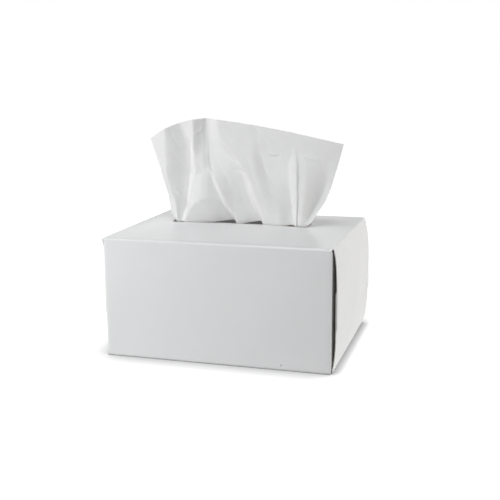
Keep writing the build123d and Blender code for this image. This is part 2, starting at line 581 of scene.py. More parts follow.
@dataclass
class Carton:
    """Carton folded from one sheet of board, with a crowned top, a slot and sealed ends."""

    board: float = 0.45
    fold_radius: float = 1.2
    panel_length: float = 132.0
    depth: float = 104.3
    height: float = 69.3
    crown_rise: float = 3.4
    crown_stations: tuple[Point2, ...] = ((24.0, 3.3), (46.0, 2.3), (63.0, -0.25))
    crown_margin: float = 2.15
    crown_dip: float = 0.25
    crown_blend: float = 0.25
    crown_end: float = 3.0
    slot_length: float = 84.0
    slot_width: float = 16.0
    slot_corner: float = 4.0
    slot_corner_steps: int = 8
    slot_step: float = 1.2
    slot_clear: float = 1.1
    slot_ring: float = 1.4
    nest_gap: float = 0.2
    left_bow: Point2 = (0.3, 0.3)
    right_bow: Point2 = (1.8, 3.0)
    bow_power: float = 3.6
    major_reach: float = 45.0
    major_relief: float = 1.3
    left_taper: float = 2.2
    right_taper: float = 0.6
    taper_run: float = 5.0
    corner_reach: float = 1.1
    corner_points: int = 3
    dust_gap: float = 20.3
    dust_relief: float = 1.6
    dust_corner: float = 7.0
    seam_edge: float = 1.4
    glue_strip: float = 14.0
    lap_gap: float = 0.03
    step: float = 2.4
    fold_steps: int = 6
    ripple: float = 0.11
    ripple_edge: float = 9.0
    top_turn: float = 3.0
    join: float = 1e-5
    sharp_angle: float = 35.0
    node: str = "carton"
    slot_name: str = "coated_board"

    def __post_init__(self) -> None:
        """Works out the sizes that follow from the others."""
        self.half_depth = self.depth / 2
        self.tube_end = self.panel_length / 2 - self.fold_radius
        self.fold_y = self.half_depth - self.fold_radius
        self.fold_top = self.height - self.fold_radius
        self.flap_half_width = self.half_depth - self.major_relief
        self.outer_fold = self.panel_length / 2 + self.nest_gap + 2 * self.board - self.fold_radius
        self.dust_span = (self.dust_relief, self.height - self.dust_relief)
        places = [0.0] + [station for station, _ in self.crown_stations]
        rises = [self.crown_rise] + [rise for _, rise in self.crown_stations]
        squares = np.array(places) ** 2
        powers = np.vander(squares, len(places), increasing=True)
        self.crown_terms = np.linalg.solve(powers, np.array(rises))

    def crown(self, x: np.ndarray, y: np.ndarray) -> np.ndarray:
        """Rise of the top panel above its flat rim.

        Args:
            x: Places along the panel.
            y: Places across it.

        Returns:
            The rise at each place.
        """
        rise = sum(term * x ** (2 * power) for power, term in enumerate(self.crown_terms))
        half_width = self.half_depth - self.crown_margin
        raised = (rise + self.crown_dip) * (1.0 - (y / half_width) ** 2) - self.crown_dip
        rounded = 0.5 * (raised + np.sqrt(raised**2 + self.crown_blend**2))
        return rounded * smooth_step((self.tube_end - np.abs(x)) / self.crown_end)

    def waves(self, a: np.ndarray, b: np.ndarray, turn: float) -> np.ndarray:
        """Slight unevenness of a panel, none at its folds.

        Args:
            a: Places along the panel, from its middle.
            b: Places across it, from its middle.
            turn: Shifts the waves from panel to panel.

        Returns:
            Height of the waves at each place.
        """
        wave = rippled(PANEL_RIPPLES, a, b, turn)
        edge_a = smooth_step((np.max(np.abs(a)) - np.abs(a)) / self.ripple_edge)
        edge_b = smooth_step((np.max(np.abs(b)) - np.abs(b)) / self.ripple_edge)
        return self.ripple * wave * edge_a * edge_b

    def x_places(self) -> np.ndarray:
        """Places of the points along the sleeve."""
        return even_steps(-self.tube_end, self.tube_end, self.step)

    def panel_places(self, low: float, high: float, flap_low: float, flap_high: float) -> np.ndarray:
        """Places across a panel that take in the sides of the flap on its end.

        Args:
            low: Where the panel starts.
            high: Where it ends.
            flap_low: Where the flap starts.
            flap_high: Where the flap ends.

        Returns:
            The places in rising order.
        """
        middle = even_steps(flap_low, flap_high, self.step)
        return np.unique(np.round(np.concatenate(([low], middle, [high])), 6))

    def arc(self, centre: Point2, radius: float, start: float, stop: float, steps: int) -> np.ndarray:
        """Points along an arc, with its angles in degrees."""
        angles = np.radians(np.linspace(start, stop, steps + 1))
        return point_line(centre[0] + radius * np.cos(angles), centre[1] + radius * np.sin(angles))

    def fold(self, centre: Point2, start: float, stop: float) -> np.ndarray:
        """Points round a fold of the board, with its angles in degrees."""
        return self.arc(centre, self.fold_radius, start, stop, self.fold_steps)

    def sleeve_sections(self) -> list[tuple[np.ndarray, Point3]]:
        """Sections of the sleeve apart from its top panel.

        Returns:
            Pairs of points (y, z) in the order of the fold, and the way out at the first of them.
        """
        lap_y = self.half_depth - self.board - self.lap_gap
        bottom_back = lap_y - self.fold_radius
        strip = even_steps(self.glue_strip, self.fold_radius, self.step)
        bottom = self.panel_places(-self.fold_y, bottom_back, -self.flap_half_width, self.flap_half_width)
        front = self.panel_places(self.fold_radius, self.fold_top, *self.dust_span)
        back = self.panel_places(self.seam_edge, self.fold_top, *self.dust_span)
        first = (
            point_line(lap_y, strip),
            self.fold((bottom_back, self.fold_radius), 0, -90)[1:],
            point_line(bottom[::-1], 0.0)[1:],
            self.fold((-self.fold_y, self.fold_radius), -90, -180)[1:],
            point_line(-self.half_depth, front)[1:],
            self.fold((-self.fold_y, self.fold_top), 180, 90)[1:],
        )
        second = (
            self.fold((self.fold_y, self.fold_top), 90, 0),
            point_line(self.half_depth, back[::-1])[1:],
        )
        return [(np.concatenate(first), (0.0, 1.0, 0.0)), (np.concatenate(second), (0.0, 0.0, 1.0))]

    def add_sleeve(self, sheet: SheetMesh) -> None:
        """Adds the glue strip, bottom, front and back panels.

        Args:
            sheet: The board so far.
        """
        x = self.x_places()
        for section, outward in self.sleeve_sections():
            grid = point_grid(x[None, :], section[:, :1], section[:, 1:])
            for sign in (-1.0, 1.0):
                panel = np.abs(section[:, 0] - sign * self.half_depth) < SAME
                along, up = np.meshgrid(x, section[panel, 1] - self.height / 2)
                if up.size:
                    grid[panel, :, 1] += sign * self.waves(along, up, sign)
            sheet.add_grid(grid, outward)

    def add_corners(self, sheet: SheetMesh) -> None:
        """Adds the short ends of the long folds, which reach out beside the end flaps.

        Args:
            sheet: The board so far.
        """
        low, high = self.dust_span
        reach = np.array([[self.tube_end, self.tube_end + self.corner_reach]])
        for section, _ in self.sleeve_sections():
            y, z = section.T
            near = (np.abs(y) > self.flap_half_width - SAME) & ((z > high - SAME) | (z < low + SAME))
            breaks = np.flatnonzero(np.diff(near.astype(int))) + 1
            for run in np.split(np.arange(len(section)), breaks):
                if not near[run[0]] or len(run) < self.corner_points:
                    continue
                first, second = section[run[:2]]
                outward = (0.0, math.copysign(1.0, first[0]), 0.0)
                if abs(second[1] - first[1]) <= abs(second[0] - first[0]):
                    outward = (0.0, 0.0, math.copysign(1.0, first[1] - self.height / 2))
                for side in (-1.0, 1.0):
                    grid = point_grid(side * reach, section[run, :1], section[run, 1:])
                    sheet.add_grid(grid, outward)

    def slot_outline(self) -> np.ndarray:
        """Goes round the slot.

        Returns:
            Points on its outline, anticlockwise.
        """
        reach_x = self.slot_length / 2 - self.slot_corner
        reach_y = self.slot_width / 2 - self.slot_corner
        parts = []
        for side, face, start in ((1, 1, 0), (-1, 1, 90), (-1, -1, 180), (1, -1, 270)):
            centre = (side * reach_x, face * reach_y)
            parts.append(self.arc(centre, self.slot_corner, start, start + 90, self.slot_corner_steps))
        loop = np.concatenate(parts)
        points = []
        for here, there in zip(loop, np.roll(loop, -1, axis=0)):
            count = max(1, int(round(float(np.linalg.norm(there - here)) / self.slot_step)))
            points += [here + (there - here) * number / count for number in range(count)]
        return np.array(points)

    def slot_reach(self, x: np.ndarray, y: np.ndarray) -> np.ndarray:
        """Measures how far places lie outside the slot.

        Args:
            x: Places along the top panel.
            y: Places across it.

        Returns:
            The distance from the slot's outline, below zero inside it.
        """
        over_x = np.abs(x) - (self.slot_length / 2 - self.slot_corner)
        over_y = np.abs(y) - (self.slot_width / 2 - self.slot_corner)
        outside = np.hypot(np.maximum(over_x, 0.0), np.maximum(over_y, 0.0))
        return outside + np.minimum(np.maximum(over_x, over_y), 0.0) - self.slot_corner

    def top_height(self, x: np.ndarray, y: np.ndarray) -> np.ndarray:
        """Height of the top panel's outer face."""
        return self.height + self.crown(x, y)

    def add_top(self, sheet: SheetMesh) -> None:
        """Adds the crowned top panel with its slot.

        Args:
            sheet: The board so far.
        """
        x = self.x_places()
        y = self.panel_places(-self.fold_y, self.fold_y, -self.flap_half_width, self.flap_half_width)
        along, across = (part.ravel() for part in np.meshgrid(x, y))
        clear = self.slot_reach(along, across) > self.slot_clear
        loop = self.slot_outline()
        ring = loop * (1.0 + self.slot_ring / np.array([self.slot_length, self.slot_width]))
        spots = np.concatenate((loop, ring, point_line(along, across)[clear]))
        edges = loop_edges(len(loop))
        found, _, faces, *_ = delaunay_2d_cdt([Vector(spot) for spot in spots], edges, [], 0, self.join)
        flat = np.array([tuple(spot) for spot in found])
        centres = np.array([flat[list(face)].mean(axis=0) for face in faces])
        keep = self.slot_reach(*centres.T) > 0.0
        height = self.top_height(*flat.T) + self.waves(*flat.T, self.top_turn)
        kept = [tuple(face) for face, good in zip(faces, keep) if good]
        sheet.add_faces(np.column_stack((flat, height)), kept, (0.0, 0.0, 1.0))

    def major_path(self, bow: float, inset: float) -> np.ndarray:
        """Line of an end flap that hangs from the top, fullest just below its fold.

        Args:
            bow: How far the flap stands out at half height.
            inset: How far it lies in from the outermost flap.

        Returns:
            Points (x, z) from the sleeve's end to the flap's cut edge.
        """
        lean = math.degrees(math.atan(self.bow_power * bow / (self.height / 2 - self.fold_radius)))
        turn = self.fold((self.outer_fold - inset, self.fold_top), 90, lean)
        start_x, start_z = turn[-1]
        z = even_steps(start_z, self.height - self.major_reach, self.step)
        share = np.abs(z - self.height / 2) / (start_z - self.height / 2)
        x = start_x + bow * (1.0 - share**self.bow_power)
        return np.concatenate(([(self.tube_end, self.height)], turn, np.column_stack((x, z))[1:]))

    def add_majors(self, sheet: SheetMesh) -> None:
        """Adds the two flaps on each end, the top one over the bottom one.

        Args:
            sheet: The board so far.
        """
        y = even_steps(-self.flap_half_width, self.flap_half_width, self.step)
        ends = ((-1.0, self.left_bow, self.left_taper), (1.0, self.right_bow, self.right_taper))
        for side, bows, taper in ends:
            bow = np.interp(y, (y[0], y[-1]), bows)
            for closure in Closure:
                over = closure is Closure.TOP
                inset = 0.0 if over else self.board + self.lap_gap
                paths = np.stack([self.major_path(part, inset) for part in bow], axis=1)
                down = paths[:, :, 1]
                z = down if over else self.height - down
                up = z - self.height / 2
                narrowed = taper * smooth_step((self.fold_top - down) / self.taper_run)
                across = y * (1.0 - narrowed / self.flap_half_width)
                wave = rippled(FLAP_RIPPLES, across, up, side)
                both_folds = smooth_step((self.fold_top - self.height / 2 - np.abs(up)) / self.ripple_edge)
                x = side * (paths[:, :, 0] + self.ripple * wave * both_folds)
                grid = np.stack((x, across, z), axis=2)
                sheet.add_grid(grid, (0.0, 0.0, 1.0 if over else -1.0))

    def add_dust_flaps(self, sheet: SheetMesh) -> None:
        """Adds the four flaps behind the end flaps.

        Args:
            sheet: The board so far.
        """
        middle = self.height / 2
        reach = even_steps(-self.fold_y, -self.dust_gap / 2, self.step)
        turn = self.fold((self.tube_end, -self.fold_y), -90, 0)
        path = np.concatenate((turn, point_line(self.panel_length / 2, reach)[1:]))
        trim = np.maximum(0.0, path[:, 1:] + self.dust_gap / 2 + self.dust_corner)
        squeeze = 1.0 - trim / (middle - self.dust_relief)
        z = middle + (even_steps(*self.dust_span, self.step)[None, :] - middle) * squeeze
        for side in (-1.0, 1.0):
            for face in (-1.0, 1.0):
                grid = point_grid(side * path[:, :1], -face * path[:, 1:], z)
                sheet.add_grid(grid, (0.0, face, 0.0))

    def build(self) -> bpy.types.Object:
        """Makes the carton and stands it for its solid.

        Returns:
            The dressed carton.
        """
        sheet = SheetMesh("folded_carton")
        self.add_sleeve(sheet)
        self.add_corners(sheet)
        self.add_top(sheet)
        self.add_majors(sheet)
        self.add_dust_flaps(sheet)
        item = sheet.build([finish.material() for finish in (COATED, BOARD_BACK, BOARD_EDGE)])
        wall = item.modifiers.new("wall", "SOLIDIFY")
        wall.thickness = self.board * MM
        wall.offset = -1.0
        wall.use_even_offset = True
        wall.material_offset = 1
        wall.material_offset_rim = 2
        settle(item, self.sharp_angle)
        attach(item, BODY)
        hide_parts(self.node)
        return item


@dataclass
class SlotNibs:
    """Torn nibs of board that the perforation leaves along the slot."""

    carton: Carton
    pitch: float = 1.4
    width: float = 0.65
    reach: float = 0.6
    thickness: float = 0.7
    stand: float = 0.12
    smallest: Point3 = (0.5, 0.35, 0.9)
    largest: Point3 = (1.15, 1.2, 1.0)
    seed: int = 7
    sharp_angle: float = 30.0
    slot_name: str = "coated_board"

    def tree(self, material: bpy.types.Material) -> bpy.types.GeometryNodeTree:
        """Builds the tree that sets nibs along a line.

        Args:
            material: Finish of the nibs.

        Returns:
            A tree with the inputs Pitch, Nib and Seed.
        """
        tree = bpy.data.node_groups.new("slot_nibs", "GeometryNodeTree")
        sizes = {"Pitch": "Float", "Nib": "Vector", "Seed": "Int"}
        add_sockets(tree, "INPUT", {"Geometry": "Geometry", **sizes})
        add_sockets(tree, "OUTPUT", {"Geometry": "Geometry"})
        kit = Nodes(tree)
        given = kit.add("NodeGroupInput").outputs
        line = kit.add("GeometryNodeMeshToCurve", {"Mesh": given["Geometry"]})
        spacing = {"Curve": line, "Length": given["Pitch"]}
        spaced = kit.add("GeometryNodeResampleCurve", spacing, mode="LENGTH")
        nib = kit.add("GeometryNodeMeshCube", {"Size": given["Nib"]})
        along = kit.add("GeometryNodeInputTangent")
        turn = kit.add("FunctionNodeAlignRotationToVector", {"Vector": along}, axis="X")
        limits = {0: self.smallest, 1: self.largest, "Seed": given["Seed"]}
        size = kit.add("FunctionNodeRandomValue", limits, data_type="FLOAT_VECTOR")
        placed = kit.add(
            "GeometryNodeInstanceOnPoints",
            {"Points": spaced, "Instance": nib, "Rotation": turn, "Scale": size},
        )
        real = kit.add("GeometryNodeRealizeInstances", {0: placed})
        dressed = kit.add("GeometryNodeSetMaterial", {"Geometry": real, "Material": material})
        kit.add("NodeGroupOutput", {0: dressed})
        return tree

    def build(self) -> bpy.types.Object:
        """Makes the nibs round the slot.

        Returns:
            The nibs as one piece.
        """
        material = BOARD_EDGE.material()
        loop = self.carton.slot_outline()
        height = self.carton.top_height(*loop.T) + self.stand
        mesh = bpy.data.meshes.new("perforation_nibs")
        mesh.from_pydata((np.column_stack((loop, height)) * MM).tolist(), loop_edges(len(loop)), [])
        mesh.materials.append(material)
        item = put("perforation_nibs", mesh)
        modifier = item.modifiers.new("nibs", "NODES")
        modifier.node_group = self.tree(material)
        values = {
            "Pitch": self.pitch * MM,
            "Nib": (self.width * MM, self.reach * MM, self.thickness * MM),
            "Seed": self.seed,
        }
        for socket in modifier.node_group.interface.items_tree:
            if socket.in_out == "INPUT" and socket.name in values:
                modifier[socket.identifier] = values[socket.name]
        settle(item, self.sharp_angle)
        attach(item, BODY)
        return item


@dataclass(frozen=True)
class Crease:
    """One crease of the leading tissue, from the slot up to the sheet's edge."""

    name: str
    round_over: float
    points: tuple[Point3, ...]


@dataclass(frozen=True)
class Tick:
    """A short fine crease that handling left in the tissue."""

    start: Point2
    stop: Point2
    width: float
    depth: float


@dataclass(frozen=True)
class Swelling:
    """A soft swelling of the tissue under an arched crest, which looks down on the slot."""

    crest: tuple[Point2, ...]
    lean: float
    fade: float
    softness: float = 1.2
    least_rise: float = 0.001


@dataclass(frozen=True)
class Crumple:
    """The unevenness that handling leaves in tissue."""

    height: float = 0.24
    broad: Point2 = (11.0, 14.0)
    small: Point2 = (4.2, 6.0)
    small_share: float = 0.35
    ridge: Point2 = (7.0, 19.0)
    ridge_slant: float = 16.0
    ridge_share: float = 0.5
    ridge_power: int = 6
    layers: Point3 = (4.0, 9.0, 2.0)

    def at(self, x: float, z: float) -> float:
        """Finds the unevenness at one place.

        Args:
            x: Place along the slot.
            z: Height.

        Returns:
            How far the sheet stands back there.
        """
        broad = noise.noise(Vector((x / self.broad[0], self.layers[0], z / self.broad[1])))
        small = noise.noise(Vector((x / self.small[0], self.layers[1], z / self.small[1])))
        slanted = x / self.ridge[0] + z / self.ridge_slant
        ridge = 1.0 - abs(noise.noise(Vector((slanted, self.layers[2], z / self.ridge[1]))))
        return self.height * (
            broad + self.small_share * small + self.ridge_share * ridge**self.ridge_power
        )


ARCH = Swelling(
    crest=(
        (-33.5, 74.0), (-32.0, 75.7), (-30.2, 79.5), (-26.2, 83.9), (-21.7, 86.8), (-19.0, 87.6),
        (-14.0, 87.0), (-9.0, 83.5), (-4.5, 76.5), (-3.0, 74.0),
    ),
    lean=0.36,
    fade=17.0,
)
TICKS = (
    Tick((-24.0, 127.0), (-27.5, 124.5), 0.6, -0.35),
    Tick((-1.0, 107.6), (2.4, 104.6), 0.7, -0.5),
    Tick((-4.0, 104.2), (2.0, 103.4), 0.8, 0.4),
    Tick((17.5, 114.2), (21.5, 113.0), 0.8, -0.35),
    Tick((19.0, 111.5), (24.0, 112.2), 0.9, 0.3),
    Tick((38.5, 112.5), (47.0, 110.2), 0.6, -0.35),
    Tick((31.0, 107.0), (32.5, 103.0), 0.8, -0.3),
    Tick((-40.5, 92.0), (-38.0, 88.0), 0.8, -0.4),
)
CREASES = (
    Crease("left_edge", 0.0, (
        (72.5, -41.2, -3.6), (74.5, -43.0, -3.4), (80.5, -44.4, -2.6), (86.3, -45.4, -1.6),
        (93.5, -48.2, -0.4), (104.9, -51.8, 0.6), (121.6, -57.5, 1.4),
    )),
    Crease("left_ridge", 0.9, (
        (74.0, -38.2, -6.9), (83.1, -39.6, -5.2), (89.2, -43.0, -3.8), (98.8, -45.8, -3.2),
        (115.0, -46.6, -3.0), (127.8, -46.8, -2.8),
    )),
    Crease("left_valley", 1.2, (
        (72.9, -35.4, -6.4), (76.5, -35.2, -3.4), (80.7, -34.6, -0.4), (90.5, -33.2, 1.8),
        (102.7, -31.4, 2.6), (112.4, -31.4, 2.6), (119.5, -32.0, 2.6), (125.0, -34.6, 2.8),
        (131.4, -38.5, 2.8),
    )),
    Crease("second_ridge", 0.4, (
        (74.3, -32.8, -7.2), (80.4, -31.2, -6.4), (88.4, -29.6, -5.5), (96.4, -28.2, -4.7),
        (103.0, -27.0, -4.0), (109.0, -27.6, -3.3), (113.7, -28.4, -2.8), (121.7, -28.6, -2.6),
        (132.5, -28.6, -2.6),
    )),
    Crease("hollow", 1.4, (
        (74.2, -15.5, -5.6), (80.6, -19.0, -5.5), (85.0, -23.2, -5.3), (90.0, -24.6, -4.9),
        (96.3, -23.4, -4.4), (103.2, -21.6, -3.7), (109.0, -23.0, -2.8), (113.6, -24.0, -1.0),
        (121.5, -24.2, 0.3), (133.4, -24.0, 0.4),
    )),
    Crease("second_valley", 0.5, (
        (72.6, -3.4, -2.0), (81.4, -9.0, -0.8), (88.1, -12.6, -0.8), (94.7, -15.4, -1.5),
        (101.4, -17.7, -3.1), (105.1, -19.5, -2.4), (109.7, -20.3, -1.2), (115.2, -20.9, 0.6),
        (121.4, -21.6, 1.6), (133.6, -21.8, 2.0),
    )),
    Crease("thin_ridge", 0.35, (
        (74.0, -0.1, -7.2), (81.2, -4.6, -6.0), (89.0, -8.8, -5.0), (95.8, -12.6, -4.2),
        (101.2, -15.8, -3.4), (105.1, -17.6, -1.8), (109.7, -19.0, -0.4), (115.2, -19.2, 0.9),
        (121.5, -20.0, 1.7), (133.6, -20.2, 2.0),
    )),
    Crease("middle_valley", 0.6, (
        (72.0, 13.4, -2.0), (79.5, 9.4, -1.4), (85.3, 6.4, -1.2), (90.2, 4.6, -1.2), (95.0, 3.2, -1.3),
        (101.4, 1.0, -1.2), (107.5, -3.0, -0.8), (111.7, -7.2, -0.2), (116.1, -13.4, 0.6),
        (121.1, -17.8, 1.2), (133.6, -19.0, 1.8),
    )),
    Crease("long_ridge", 0.5, (
        (73.5, 16.2, -7.3), (82.0, 12.9, -6.4), (89.7, 9.9, -5.3), (95.8, 7.9, -4.4),
        (101.2, 5.3, -3.6), (106.6, 1.9, -2.9), (111.2, -1.5, -2.4), (116.5, -6.6, -1.9),
        (121.1, -10.9, -1.7), (126.5, -12.9, -1.5), (133.5, -13.9, -1.4),
    )),
    Crease("dent", 1.3, (
        (73.3, 20.6, -7.2), (82.0, 17.6, -6.0), (92.7, 13.6, -4.3), (101.9, 10.2, -2.7),
        (108.8, 8.3, -1.7), (114.0, 7.2, -1.1), (118.1, 6.5, -0.6), (130.4, 5.6, -0.2),
    )),
    Crease("shoulder", 0.5, (
        (73.1, 26.2, -7.2), (81.3, 23.4, -4.8), (92.7, 19.7, -2.4), (101.9, 16.0, -0.2),
        (108.8, 13.8, 0.7), (114.0, 12.6, 0.7), (118.1, 11.3, 0.3), (129.7, 10.5, 0.2),
    )),
    Crease("right_valley", 0.7, (
        (71.7, 33.5, -5.8), (75.5, 33.3, -3.6), (81.9, 32.4, -1.6), (92.8, 30.5, -0.9),
        (100.6, 29.2, -0.6), (106.0, 28.8, -0.3), (110.7, 29.7, 0.0), (114.5, 31.0, 0.2),
        (119.9, 31.5, 0.3), (126.8, 31.6, 0.4),
    )),
    Crease("sharp_ridge", 0.25, (
        (72.8, 35.9, -7.4), (85.8, 35.7, -5.8), (96.6, 35.4, -4.4), (106.5, 35.1, -2.6),
        (114.0, 34.0, -0.4), (117.0, 33.4, 0.2), (126.5, 32.8, 0.4),
    )),
    Crease("tuck", 0.25, (
        (72.6, 36.3, -6.9), (85.4, 36.1, -4.9), (93.2, 35.9, -3.9), (100.9, 35.7, -2.6),
        (108.6, 35.4, -1.4), (114.7, 34.9, 0.1), (125.7, 34.0, 0.4),
    )),
    Crease("last_ridge", 0.5, (
        (72.4, 38.2, -7.0), (73.6, 38.5, -8.0), (75.5, 38.8, -7.4), (85.2, 39.6, -5.4),
        (93.6, 40.6, -4.4), (101.2, 40.6, -2.8), (108.8, 40.2, -1.2), (114.0, 39.6, 0.0),
        (125.0, 39.1, 0.4),
    )),
    Crease("last_valley", 0.9, (
        (72.4, 39.9, -6.6), (73.4, 40.8, -7.7), (75.5, 41.4, -5.4), (79.0, 43.2, -1.8),
        (86.1, 46.8, 0.2), (91.6, 49.6, 0.6), (97.9, 51.3, 0.8), (106.4, 52.6, 0.9),
        (121.0, 54.8, 0.9),
    )),
    Crease("right_edge", 0.0, (
        (72.4, 41.2, -5.6), (73.2, 43.0, -6.9), (74.6, 44.2, -6.0), (80.5, 47.6, -2.2),
        (86.0, 51.3, -0.8), (93.7, 54.5, 0.2), (106.7, 58.3, 0.9), (119.7, 61.8, 1.2),
    )),
)


@dataclass
class LeadingTissue:
    """Sheet drawn up through the slot, gathered there and creased above it."""

    creases: tuple[Crease, ...] = CREASES
    ticks: tuple[Tick, ...] = TICKS
    arch: Swelling = ARCH
    slot_level: float = 72.4
    foot_level: float = 50.55
    neck_level: float = 69.0
    foot_depth: float = 9.0
    lip_depth: float = -7.2
    lift: float = 0.32
    end_start: float = 33.0
    end_run: float = 8.0
    end_drop: float = 1.0
    sweep: float = 6.5
    sweep_drop: float = 0.35
    flat_half_width: float = 61.0
    column_step: float = 0.55
    fewest_columns: int = 4
    upper_rows: int = 120
    lower_rows: int = 40
    row_crowding: float = 2.6
    belly: float = 0.35
    crease_softness: float = 3.0
    edge_softness: float = 6.0
    fine_round: float = 0.35
    broad_round: float = 1.3
    round_start: float = 0.3
    round_run: float = 0.9
    crumple: Crumple = Crumple()
    sharp_angle: float = 60.0
    gauge: float = 0.12
    flat_size: Point2 = (127.0, 84.5)
    node: str = "pop_up_tissue"
    slot_name: str = "tissue"
    carton_piece: str = "folded_carton"
    upper_edge: tuple[Point2, ...] = (
        (-57.6, 121.6), (-53.2, 124.3), (-48.8, 126.8), (-43.1, 129.4), (-37.7, 131.5), (-31.0, 133.1),
        (-22.5, 134.0), (-15.9, 133.6), (-5.9, 132.4), (3.9, 130.9), (13.7, 129.4), (23.3, 127.7),
        (32.9, 125.9), (43.1, 123.7), (52.5, 121.7), (61.8, 119.8),
    )

    def edge_height(self, x: np.ndarray) -> np.ndarray:
        """Height of the sheet's upper edge at places along it."""
        return np.interp(x, *np.array(self.upper_edge).T)

    def crease_lines(self) -> np.ndarray:
        """Points of every crease, row by row up the sheet.

        Returns:
            An array by row, crease and axis.
        """
        share = np.linspace(0.0, 1.0, self.upper_rows + 1)
        lines = []
        for crease in self.creases:
            z, x, y = np.array(crease.points).T
            levels = self.slot_level + share * (self.edge_height(x[-1]) - self.slot_level)
            lines.append(np.column_stack((np.interp(levels, z, x), np.interp(levels, z, y), levels)))
        return self.softened(np.stack(lines, axis=1), self.crease_softness, 0)

    @staticmethod
    def softened(values: np.ndarray, spread: float, axis: int) -> np.ndarray:
        """Rounds values along one axis and keeps their ends.

        Args:
            values: The numbers.
            spread: Width of the rounding, in steps of that axis.
            axis: The axis.

        Returns:
            The rounded numbers.
        """
        reach = max(1, int(3 * spread))
        weights = np.exp(-0.5 * (np.arange(-reach, reach + 1) / spread) ** 2)
        weights /= weights.sum()
        moved = np.moveaxis(values, axis, 0)
        first = 2.0 * moved[:1] - moved[reach:0:-1]
        last = 2.0 * moved[-1:] - moved[-2:-reach - 2:-1]
        padded = np.concatenate((first, moved, last))
        out = sum(weight * padded[start:start + len(moved)] for start, weight in enumerate(weights))
        return np.moveaxis(out, 0, axis)

    def columns(self, lines: np.ndarray) -> tuple[np.ndarray, np.ndarray]:
        """Fills the sheet between its creases.

        Args:
            lines: Points of every crease.

        Returns:
            Points by row and column, and the rounding wanted at each column.
        """
        parts, tight = [], []
        for number in range(len(self.creases) - 1):
            here, there = lines[:, number], lines[:, number + 1]
            widest = float(np.linalg.norm(there - here, axis=1).max())
            count = max(self.fewest_columns, int(round(widest / self.column_step)))
            share = np.arange(count) / count
            eased = share + self.belly * (smooth_step(share) - share)
            part = here[:, None, :] + (there - here)[:, None, :] * share[None, :, None]
            part[:, :, 1] = here[:, None, 1] + (there - here)[:, None, 1] * eased[None, :]
            parts.append(part)
            start, stop = self.creases[number].round_over, self.creases[number + 1].round_over
            tight.append(start + (stop - start) * share)
        parts.append(lines[:, -1:, :])
        tight.append(np.array([self.creases[-1].round_over]))
        return np.concatenate(parts, axis=1), np.concatenate(tight)

    def rounded(self, grid: np.ndarray, tight: np.ndarray) -> np.ndarray:
        """Rounds the creases over, each by its own amount.

        Args:
            grid: Points by row and column.
            tight: Rounding wanted at each column.

        Returns:
            The rounded points.
        """
        fine = self.softened(grid, self.fine_round / self.column_step, 1)
        broad = self.softened(grid, self.broad_round / self.column_step, 1)
        share = np.clip((tight - self.round_start) / self.round_run, 0.0, 1.0)[None, :, None]
        return fine + (broad - fine) * share

    def trimmed(self, grid: np.ndarray) -> np.ndarray:
        """Brings the top row onto the sheet's upper edge and the lowest into the slot.

        Args:
            grid: Points by row and column.

        Returns:
            The points at their new heights.
        """
        head = self.softened(self.edge_height(grid[-1, :, 0]), self.edge_softness, 0)
        share = (grid[:, :, 2] - self.slot_level) / (grid[-1, :, 2] - self.slot_level)
        foot = self.slot_level + self.lift * np.maximum(0.0, grid[0, :, 1] - self.lip_depth)
        foot = foot - self.end_drop * smooth_step((grid[0, :, 0] - self.end_start) / self.end_run)
        out = grid.copy()
        out[:, :, 2] = foot + share * (head - foot)
        return out

    def crumpled(self, grid: np.ndarray) -> np.ndarray:
        """Adds the fine unevenness of handled tissue.

        Args:
            grid: Points by row and column.

        Returns:
            The uneven points.
        """
        out = grid.copy()
        for spot in out.reshape(-1, 3):
            spot[1] += self.crumple.at(spot[0], spot[2])
        return out

    def swollen(self, grid: np.ndarray) -> np.ndarray:
        """Brings the sheet forward under the arched crest.

        Args:
            grid: Points by row and column.

        Returns:
            The points with the swelling.
        """
        arch = self.arch
        crest_x, crest_z = np.array(arch.crest).T
        crest = np.interp(grid[:, :, 0], crest_x, crest_z)
        rise = np.maximum(crest - crest_z[0], arch.least_rise)
        below = np.clip((grid[:, :, 2] - crest_z[0]) / rise, 0.0, 1.0)
        above = np.clip(1.0 - (grid[:, :, 2] - crest) / arch.fade, 0.0, 1.0)
        out = grid.copy()
        out[:, :, 1] -= self.softened(arch.lean * rise * np.minimum(below, above), arch.softness, 0)
        return out

    def ticked(self, grid: np.ndarray) -> np.ndarray:
        """Presses the short fine creases into the sheet.

        Args:
            grid: Points by row and column.

        Returns:
            The points with the creases.
        """
        out = grid.copy()
        face = grid[:, :, (0, 2)]
        for tick in self.ticks:
            start, stop = np.array(tick.start), np.array(tick.stop)
            run = stop - start
            share = np.clip(((face - start) @ run) / (run @ run), 0.0, 1.0)
            away = np.linalg.norm(face - start - share[:, :, None] * run, axis=2)
            out[:, :, 1] += tick.depth * np.exp(-((away / tick.width) ** 2))
        return out

    def lower_part(self, top: np.ndarray) -> np.ndarray:
        """Sheet below the slot, which turns back under the top panel and spreads flat on the stack.

        Args:
            top: The row of points at the slot.

        Returns:
            Points by row and column, from the stack up to just below the slot.
        """
        lengths = np.linalg.norm(np.diff(top[:, :2], axis=0), axis=1)
        along = np.concatenate(([0.0], np.cumsum(lengths)))
        flat_x = (along / along[-1] * 2.0 - 1.0) * self.flat_half_width
        flat_x += 0.5 * (top[0, 0] + top[-1, 0])
        drops = np.linspace(1.0, 0.0, self.lower_rows + 1)[:-1, None] ** self.row_crowding
        x, y, z = top.T
        level = z - drops * (z - self.foot_level)
        spread = smooth_step((self.neck_level - level) / (self.neck_level - self.foot_level))
        swept = y + self.sweep * (1.0 - np.exp((level - z) / self.sweep_drop))
        return point_grid(x + (flat_x - x) * spread, swept + (self.foot_depth - swept) * spread, level)

